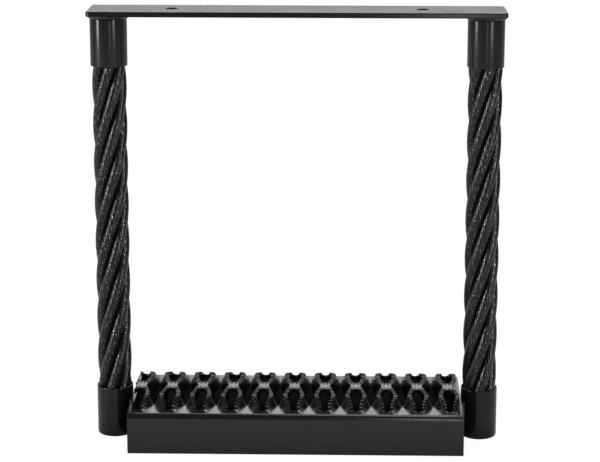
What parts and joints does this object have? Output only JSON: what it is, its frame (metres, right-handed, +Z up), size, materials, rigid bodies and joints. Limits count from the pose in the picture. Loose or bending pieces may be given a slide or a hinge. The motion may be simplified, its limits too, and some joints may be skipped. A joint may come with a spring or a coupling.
{
  "type": "cable truck step",
  "caption": "Flexible hanging step for a truck body: a bolt-on mounting plate, thick wire rope legs in ferrules, and a serrated grating tread.",
  "frame": {"origin": "centre of the mounting plate's top face, which bolts up against the vehicle", "axes": "+X along the step, +Y from the step's front to the vehicle side, +Z up"},
  "size_m": [0.381, 0.1206, 0.4064],
  "materials": {
    "black_powder_coat": "gloss black powder coat on steel",
    "coated_grating": "gloss black powder coat on expanded steel sheet",
    "coated_wire_rope": "black coated steel wires with worn sheen on the crowns"
  },
  "bodies": {
    "mount": {"mounting_plate": "black_powder_coat", "left_upper_ferrule": "black_powder_coat", "left_plate_weld": "black_powder_coat", "right_upper_ferrule": "black_powder_coat", "right_plate_weld": "black_powder_coat", "left_rope_core": "coated_wire_rope", "left_rope_strand_1": "coated_wire_rope", "left_rope_strand_2": "coated_wire_rope", "left_rope_strand_3": "coated_wire_rope", "left_rope_strand_4": "coated_wire_rope", "left_rope_strand_5": "coated_wire_rope", "left_rope_strand_6": "coated_wire_rope", "right_rope_core": "coated_wire_rope", "right_rope_strand_1": "coated_wire_rope", "right_rope_strand_2": "coated_wire_rope", "right_rope_strand_3": "coated_wire_rope", "right_rope_strand_4": "coated_wire_rope", "right_rope_strand_5": "coated_wire_rope", "right_rope_strand_6": "coated_wire_rope"},
    "step": {"tread_grating": "coated_grating", "left_end_plate": "black_powder_coat", "left_lower_ferrule": "black_powder_coat", "left_front_tread_weld": "black_powder_coat", "left_back_tread_weld": "black_powder_coat", "right_end_plate": "black_powder_coat", "right_lower_ferrule": "black_powder_coat", "right_front_tread_weld": "black_powder_coat", "right_back_tread_weld": "black_powder_coat"}
  },
  "joints": [
    {"name": "cable_flex", "type": "hinge", "parent": "mount", "child": "step", "pos_m": [0, 0, -0.1524], "axis": [1, 0, 0], "range_deg": [-30, 30], "stiffness_Nm_per_rad": 150, "deforming": ["left_rope_core", "left_rope_strand_1", "left_rope_strand_2", "left_rope_strand_3", "left_rope_strand_4", "left_rope_strand_5", "left_rope_strand_6", "right_rope_core", "right_rope_strand_1", "right_rope_strand_2", "right_rope_strand_3", "right_rope_strand_4", "right_rope_strand_5", "right_rope_strand_6"]}
  ]
}
